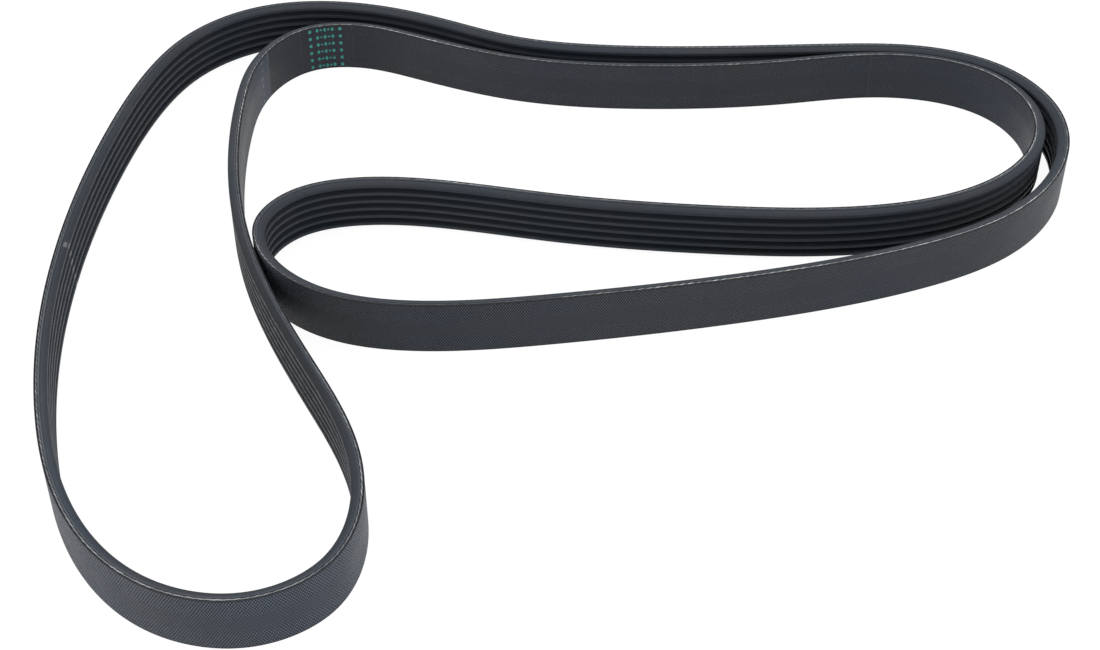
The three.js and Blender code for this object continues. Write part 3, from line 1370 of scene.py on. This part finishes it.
@dataclass(frozen=True)
class EdgeCord:
    """The two-ply cord that shows along a cut edge, sunk flush in its slot."""

    size: BeltSize
    side: Side
    lobe: float = 0.15
    sway: float = 0.03 * MM
    sway_count: int = 61
    lay_length: float = 6.0 * MM
    steps_a_lay: int = 20
    sides: int = 8
    bake_rows: int = 28
    bake_margin: float = 0.06
    waver: float = 0.12
    waver_counts: tuple[int, ...] = (37, 83, 211)
    # Share of the paleness that the painted shade between the plies leaves, higher where rubber and yarn are
    # smeared over both
    valley: Level = Level("valley", 0.12, stretches(
        (90, 80, 0.45), (930, 75, 0.6), (1150, 45, 0.6), (1390, 90, 0.5),
        (1640, 100, 0.55), (1890, 60, 0.3), (2140, 60, 0.6),
    ))
    pale: Level = Level(PALENESS, 0.16, stretches(
        (90, 60, 0.3), (190, 60, 0.2), (690, 80, 0.35), (955, 75, 0.45), (1050, 42, 0.85),
        (1160, 45, -0.1), (1234, 12, 0.5), (1345, 22, 0.3), (1440, 90, 0.1), (1600, 70, 0.42),
        (1760, 90, 0.35), (1890, 45, 0.6), (1994, 42, 0.5), (2130, 50, -0.08), (2215, 40, 0.3),
    ))

    def paleness(self, run: np.ndarray, length: float, around: np.ndarray) -> np.ndarray:
        """How pale the cord shows at each place.

        It is the level along the belt, times a waver, times a painted shade between the plies. The waver is
        made of sines that each run a whole number of times round the belt. The painted shade goes from the
        valley's share up to 1 as the square of (1 + cos 2a) / 2, and the valley is shallower where rubber
        and yarn are smeared over both plies.

        Args:
            run: Distances along the belt.
            length: The belt's length.
            around: Angles round the cord from the middle of one ply.

        Returns:
            Values from about 0 to 1, one row for each distance.
        """
        turn = TURN * run / length
        sines = sum(np.sin(count * turn + phase) for phase, count in enumerate(self.waver_counts))
        level = self.pale.along(run, length) * (1.0 + self.waver * sines)
        ply_painted_shade = (0.5 + 0.5 * np.cos(2.0 * around)) ** 2
        valley = self.valley.along(run, length)[:, None]
        return np.clip(level[:, None] * (valley + (1.0 - valley) * ply_painted_shade[None, :]), 0.0, 1.0)

    def build(self, line: BeltLine, material: Material) -> Piece:
        """Makes the cord along one edge.

        The section is r (1 + lobe cos 2a), turned once every lay, so that its two lobes are the plies.

        Args:
            line: The line that the back follows.
            material: The cord's material.

        Returns:
            The piece.
        """
        lays = self.bake_rows * round(line.length / self.lay_length / self.bake_rows)
        count = self.steps_a_lay * lays
        stations = line.round(count)
        around = TURN * np.arange(self.sides) / self.sides
        reach = self.size.cord_radius * (1.0 + self.lobe * np.cos(2.0 * around))
        angle = around[None, :] + (TURN * lays * stations.run / line.length)[:, None]
        sway = self.sway * np.sin(TURN * self.sway_count * stations.run / line.length)
        depth = self.size.cord_depth + sway[:, None] + reach * np.cos(angle)
        edge = self.size.width if self.side is Side.UPPER else 0.0
        height = edge - self.side.value * reach.max() + reach * np.sin(angle)
        places = stations.beside(depth, height)
        share = np.arange(self.sides + 1) / self.sides
        maps = {BAKE_MAP: folded_map(count, share, self.bake_rows, self.bake_margin)}
        name = f"edge_cord_{self.side.name.lower()}"
        piece = add_piece(name, places, tube_faces(count, self.sides), maps)
        add_values(piece, PALENESS, self.paleness(stations.run, line.length, around))
        piece.data.materials.append(material)
        return piece


class MarkShape(Enum):
    """Plain shapes of the stamped marks: half length, half height and squareness of each outline."""

    DASH = (0.48 * MM, 0.4 * MM, 5.0)
    LOZENGE = (0.7 * MM, 0.98 * MM, 1.3)
    BLOCK = (0.68 * MM, 0.75 * MM, 5.0)


@dataclass(frozen=True)
class BackMarks:
    """Six rows of plain stamped marks on the smooth back, one row for each rib."""

    size: BeltSize
    middle_run: float = 1929.7 * MM
    pitch: float = 1.65 * MM
    rise: float = 0.03 * MM
    spokes: int = 24
    radii: tuple[float, ...] = (0.6, 0.88, 0.97, 1.0, 0.8)
    levels: tuple[float, ...] = (1.0, 0.92, 0.55, -0.4, -1.0)
    row: tuple[MarkShape | None, ...] = (
        MarkShape.BLOCK,
        None,
        MarkShape.LOZENGE,
        MarkShape.DASH,
        MarkShape.LOZENGE,
        MarkShape.DASH,
        MarkShape.LOZENGE,
        None,
        MarkShape.BLOCK,
    )

    def shell(self) -> tuple[np.ndarray, np.ndarray, list[tuple[int, ...]]]:
        """A closed flat cushion in unit coordinates, with a pole in the middle of its top and its underside.

        Its rings have the given radii and levels, from the top to the underside.

        Returns:
            The radii and levels of its vertices, their angles, and its faces.
        """
        rings = len(self.radii)
        angle = -TURN * np.arange(self.spokes) / self.spokes
        radius = np.concatenate([[0.0], np.repeat(self.radii, self.spokes), [0.0]])
        level = np.concatenate([[1.0], np.repeat(self.levels, self.spokes), [-1.0]])
        bearing = np.concatenate([[0.0], np.tile(angle, rings), [0.0]])
        this = np.arange(self.spokes)
        after = (this + 1) % self.spokes
        last = 1 + rings * self.spokes
        top = np.stack([np.zeros_like(this), 1 + this, 1 + after], axis=1).tolist()
        under = 1 + (rings - 1) * self.spokes
        bottom = np.stack([np.full_like(this, last), under + after, under + this], axis=1).tolist()
        start = 1 + np.arange(rings - 1)[:, None] * self.spokes
        near, far = start + this, start + after
        wall = np.stack([near, near + self.spokes, far + self.spokes, far], axis=-1).reshape(-1, 4).tolist()
        return np.stack([radius, level]), bearing, top + wall + bottom

    def build(self, line: BeltLine, material: Material) -> Piece:
        """Makes all marks as one piece.

        A mark's outline is a superellipse: its half sizes times the cosine and sine of an angle, each raised
        to two over the squareness with its sign kept. It is wrapped on the back by run and height.

        Args:
            line: The line that the back follows.
            material: The ink.

        Returns:
            The piece.
        """
        (radius, level), bearing, shell = self.shell()
        runs, heights, levels, faces = [], [], [], []
        first = self.middle_run - (len(self.row) - 1) / 2.0 * self.pitch
        for rib in range(self.size.rib_count):
            middle = (rib + 0.5) * self.size.rib_pitch
            for column, shape in enumerate(self.row):
                if shape is None:
                    continue
                half_run, half_height, squareness = shape.value
                way = np.stack([np.cos(bearing), np.sin(bearing)])
                away, up = np.sign(way) * np.abs(way) ** (2.0 / squareness)
                offset = len(runs) * len(bearing)
                runs.append(first + column * self.pitch + half_run * radius * away)
                heights.append(middle + half_height * radius * up)
                levels.append(level)
                faces += [tuple(index + offset for index in face) for face in shell]
        run, height, rise = (np.concatenate(part) for part in (runs, heights, levels))
        places = line.at(run).beside(-self.rise * rise[:, None], height[:, None])
        piece = add_piece("back_marks", places, faces, {})
        piece.data.materials.append(material)
        return piece


@dataclass(frozen=True)
class Softbox:
    """A large soft lamp: its place, its sides, its power in watts and the place that it faces."""

    name: str
    place: tuple[float, float, float]
    sides: tuple[float, float]
    power: float
    target: tuple[float, float, float] = (0.0, 0.0, 0.0)

    def build(self) -> None:
        """Makes the lamp."""
        lamp = bpy.data.lights.new(self.name, "AREA")
        lamp.shape = "RECTANGLE"
        lamp.size, lamp.size_y = self.sides
        lamp.energy = self.power
        holder = add_object(self.name, lamp)
        way = np.array(self.target) - np.array(self.place)
        distance = float(np.linalg.norm(way))
        pitch = math.acos(-way[2] / distance)
        yaw = math.atan2(way[1], way[0]) - math.pi / 2.0
        holder.location = self.place
        holder.rotation_euler = (pitch, 0.0, yaw)
        holder.visible_camera = False


@dataclass(frozen=True)
class Studio:
    """A plain white table, soft light from both sides and above, and the camera."""

    target: tuple[float, float, float] = (-12.609 * MM, -21.612 * MM, 0.0)
    elevation: float = math.radians(39.825)
    distance: float = 0.697
    focal_length: float = 61.98
    sensor: float = 36.0
    floor_half: float = 6.0
    floor_glow: float = 1.06
    shadow_share: float = 0.12
    ambient: float = 0.5
    white: Colour = opaque(1.0, 1.0, 1.0)
    table_colour: Colour = opaque(0.92, 0.92, 0.92)
    lamps: tuple[Softbox, ...] = (
        Softbox("softbox_left", (-1.3, 0.1, 0.7), (1.2, 1.2), 14.0),
        Softbox("softbox_right", (1.3, 0.1, 0.7), (1.2, 1.2), 11.0),
        Softbox("softbox_top", (0.0, 0.3, 1.4), (1.2, 1.2), 7.0),
        Softbox("softbox_front", (-0.15, -0.62, 0.22), (0.7, 0.3), 1.6, (-0.1, -0.1, 0.0)),
    )

    def seen(self, sheet: NodeSheet) -> Socket:
        """Tells the rays that show a surface from those that carry light to one.

        Args:
            sheet: The sheet of the surroundings or of the table.

        Returns:
            1 for rays from the camera, off a gloss or through glass, and 0 for the others.
        """
        rays = sheet.add("ShaderNodeLightPath").outputs
        direct = sheet.math("MAXIMUM", rays["Is Camera Ray"], rays["Is Glossy Ray"])
        return sheet.math("MAXIMUM", direct, rays["Is Transmission Ray"])

    def build_world(self) -> None:
        """Makes the white surroundings."""
        world = bpy.data.worlds.new("white_room")
        world.use_nodes = True
        sheet = NodeSheet(world.node_tree)
        background = next(node for node in world.node_tree.nodes if node.type == "BACKGROUND")
        strength = sheet.math("MULTIPLY_ADD", self.seen(sheet), 1.0 - self.ambient, self.ambient)
        background.inputs["Color"].default_value = self.white
        sheet.feed(background.inputs["Strength"], strength)
        bpy.context.scene.world = world

    def build_floor(self) -> None:
        """Makes the white table, which keeps a faint shadow."""
        material = bpy.data.materials.new("white_table")
        material.use_nodes = True
        sheet = NodeSheet(material.node_tree)
        material.node_tree.nodes.clear()
        matt = sheet.add("ShaderNodeBsdfDiffuse", {"Color": self.table_colour}).outputs[0]
        glow = sheet.add("ShaderNodeEmission", {"Strength": self.floor_glow}).outputs[0]
        share = sheet.math("MULTIPLY", self.seen(sheet), 1.0 - self.shadow_share)
        mixed = sheet.add("ShaderNodeMixShader", {0: share, 1: matt, 2: glow}).outputs[0]
        sheet.add("ShaderNodeOutputMaterial", {"Surface": mixed})
        half = self.floor_half
        corners = [(-half, -half, 0), (half, -half, 0), (half, half, 0), (-half, half, 0)]
        mesh = bpy.data.meshes.new("white_table")
        mesh.from_pydata(corners, [], [(0, 1, 2, 3)])
        mesh.materials.append(material)
        add_object("white_table", mesh)

    def build_camera(self) -> None:
        """Makes the camera, which looks along +Y and down at the belt."""
        lens = bpy.data.cameras.new("camera")
        lens.lens = self.focal_length
        lens.sensor_width = self.sensor
        lens.sensor_fit = "HORIZONTAL"
        camera = add_object("camera", lens)
        x, y, z = self.target
        level = self.distance * math.cos(self.elevation)
        camera.location = (x, y - level, z + self.distance * math.sin(self.elevation))
        camera.rotation_euler = (math.pi / 2.0 - self.elevation, 0.0, 0.0)
        bpy.context.scene.camera = camera

    def build(self) -> None:
        """Makes the whole studio."""
        self.build_world()
        self.build_floor()
        self.build_camera()
        for lamp in self.lamps:
            lamp.build()
        bpy.context.scene.view_settings.view_transform = "Standard"


def centred_line(size: BeltSize, room: Clearances) -> BeltLine:
    """The belt's line, moved so that the middle of the band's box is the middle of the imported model's.

    Args:
        size: Sizes of the section.
        room: Clearances between runs that touch.

    Returns:
        The line.
    """
    places = waypoints(size, room)
    line = BeltLine(places)
    stations = line.round(BOX_STATIONS)
    rims = np.concatenate([stations.place, stations.place + stations.inward * size.thickness])
    middle = (rims.min(axis=0) + rims.max(axis=0)) / 2.0
    aim = np.array([(CAD_BOX[0][axis] + CAD_BOX[1][axis]) / 2.0 for axis in (0, 1)])
    return BeltLine(places + aim - middle)


def main() -> None:
    """Builds the belt's pieces and the studio in order."""
    logging.basicConfig(level=logging.INFO, format="%(message)s")
    Studio().build()
    size = BeltSize()
    line = centred_line(size, Clearances())
    LOG.info("length once round the back: %.1f mm", line.length / MM)
    effects = Effects.build()
    skins = [
        FabricBack(size, line.length).material(effects),
        CutEdge().material(effects),
        RibRubber(size).material(effects),
        CoverEdge().material(effects),
    ]
    BeltBand(RibbedSection(size)).build(line, skins)
    yarn = CordYarn().material(effects)
    for side in Side:
        EdgeCord(size, side).build(line, yarn)
    BackMarks(size).build(line, MarkInk().material(effects))


if __name__ == "__main__":
    main()
